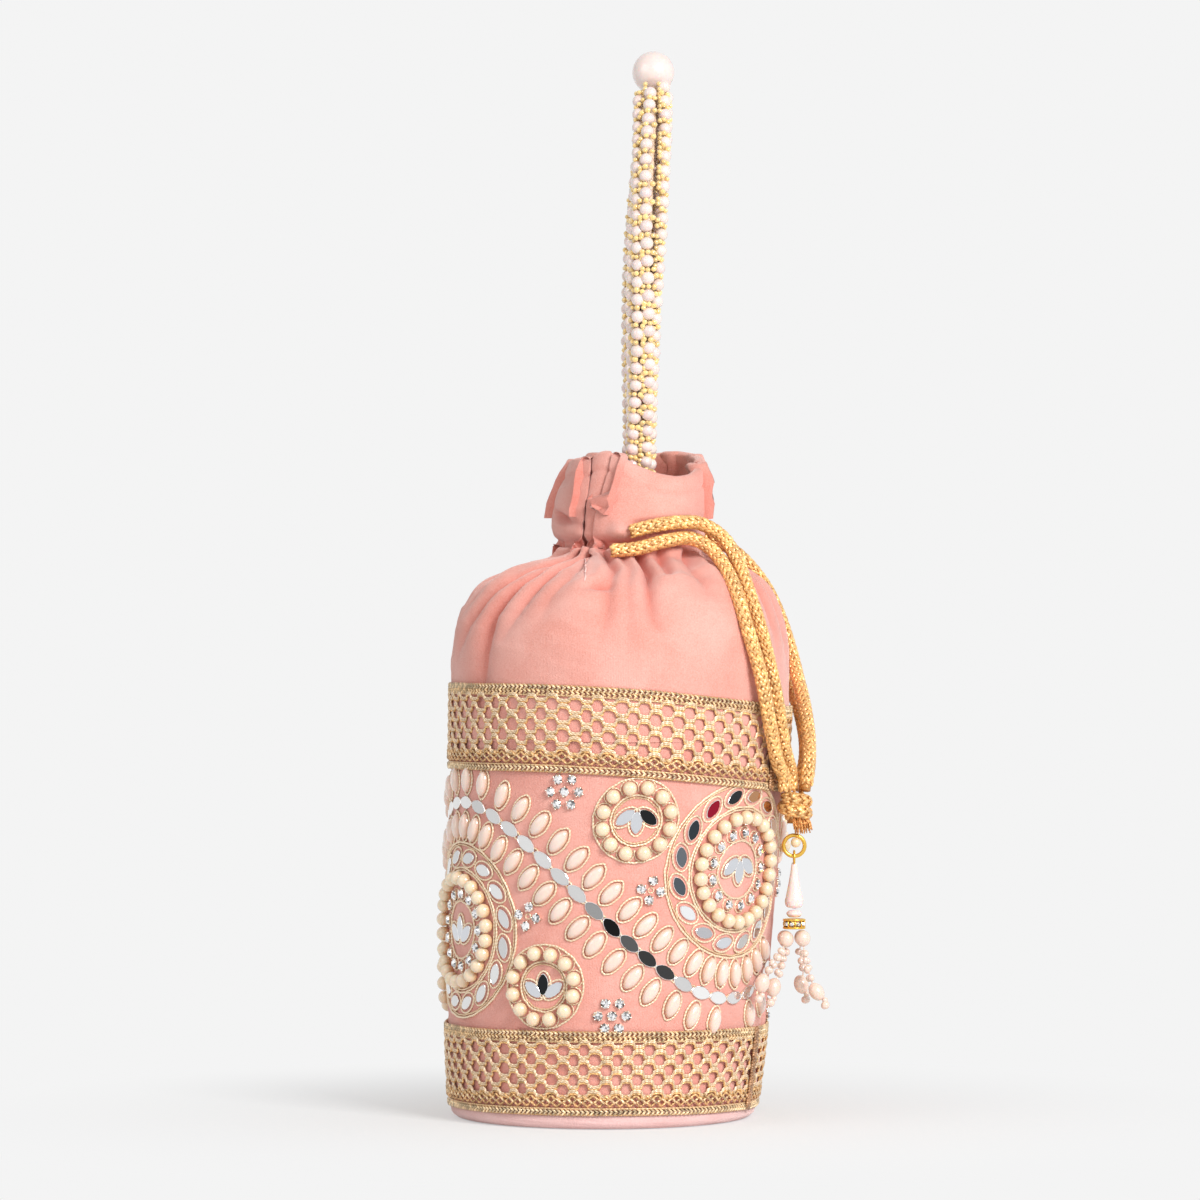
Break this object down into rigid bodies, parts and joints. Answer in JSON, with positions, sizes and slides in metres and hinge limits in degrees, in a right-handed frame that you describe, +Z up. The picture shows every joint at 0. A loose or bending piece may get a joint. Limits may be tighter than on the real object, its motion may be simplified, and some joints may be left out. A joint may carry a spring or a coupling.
{
  "type": "potli bag",
  "caption": "Oval drawstring pouch in velvet with woven lace bands, stitched pearls and mirrors, a gathered neck, a beaded loop handle and a pearl tassel.",
  "frame": {"origin": "on the floor under the middle of the bag", "axes": "+Z up, -Y to the front, where the pattern's falling wave faces; the cords and the tassel hang at +X"},
  "size_m": [0.1078, 0.1063, 0.2976],
  "materials": {
    "velvet": "cut pile velvet",
    "pale_velvet": "short pile velvet",
    "board": "matte",
    "buckram": "stiff woven",
    "satin": "satin",
    "lace": "metallic woven gimp",
    "cord": "knitted metallic thread",
    "pearl": "pearl lustre",
    "gold": "polished gold plate"
  },
  "bodies": {
    "bag": {"base_board": "board", "base_cover": "pale_velvet", "body_stiffener": "buckram", "embroidered_panel": "velvet", "lower_lace_band": "lace", "upper_lace_band": "lace", "gathered_top": "velvet", "lining": "satin", "channel_strip": "satin", "channel_cord_1": "cord", "channel_cord_2": "cord", "drawcord_front_left": "cord", "drawcord_front_right": "cord", "drawcord_back_left": "cord", "drawcord_back_right": "cord", "cord_knot": "cord", "handle_foot_front": "satin", "handle_foot_back": "satin"},
    "handle": {"handle_rope_front": "pearl", "handle_rope_back": "pearl", "top_pearl": "pearl"},
    "ring": {"tassel_ring": "gold"},
    "pendant": {"tassel_drop": "pearl", "tassel_spacer": "pearl", "tassel_rondelle": "gold"},
    "bead_string_1": {"head_pearl_1": "pearl", "bead_row_1": "pearl", "oval_pearl_1": "pearl", "end_bead_1": "pearl"},
    "bead_string_2": {"head_pearl_2": "pearl", "bead_row_2": "pearl", "oval_pearl_2": "pearl", "end_bead_2": "pearl"},
    "bead_string_3": {"head_pearl_3": "pearl", "bead_row_3": "pearl", "oval_pearl_3": "pearl", "end_bead_3": "pearl"},
    "bead_string_4": {"head_pearl_4": "pearl", "bead_row_4": "pearl", "oval_pearl_4": "pearl", "end_bead_4": "pearl"}
  },
  "joints": [
    {"name": "handle_tilt", "type": "hinge", "parent": "bag", "child": "handle", "pos_m": [0.0059, 0, 0.17085], "axis": [0, 1, 0], "range_deg": [-14, 14]},
    {"name": "ring_swing", "type": "hinge", "parent": "bag", "child": "ring", "pos_m": [0.0487, -0.0186, 0.0789], "axis": [0, -1, 0], "range_deg": [0, 25]},
    {"name": "pendant_swing", "type": "hinge", "parent": "ring", "child": "pendant", "pos_m": [0.0487, -0.0186, 0.0731], "axis": [-1, 0, 0], "range_deg": [0, 25]},
    {"name": "string_1_swing", "type": "hinge", "parent": "pendant", "child": "bead_string_1", "pos_m": [0.0511, -0.02, 0.0527], "axis": [-0.4061, -0.9138, 0], "range_deg": [0, 25]},
    {"name": "string_2_swing", "type": "hinge", "parent": "pendant", "child": "bead_string_2", "pos_m": [0.0509, -0.0153, 0.0527], "axis": [0.4061, -0.9138, 0], "range_deg": [0, 25]},
    {"name": "string_3_swing", "type": "hinge", "parent": "pendant", "child": "bead_string_3", "pos_m": [0.0464, -0.0206, 0.0527], "axis": [-0.8944, -0.4472, 0], "range_deg": [0, 25]},
    {"name": "string_4_swing", "type": "hinge", "parent": "pendant", "child": "bead_string_4", "pos_m": [0.0462, -0.0158, 0.0527], "axis": [-0.6, -0.8, 0], "range_deg": [0, 8]}
  ]
}
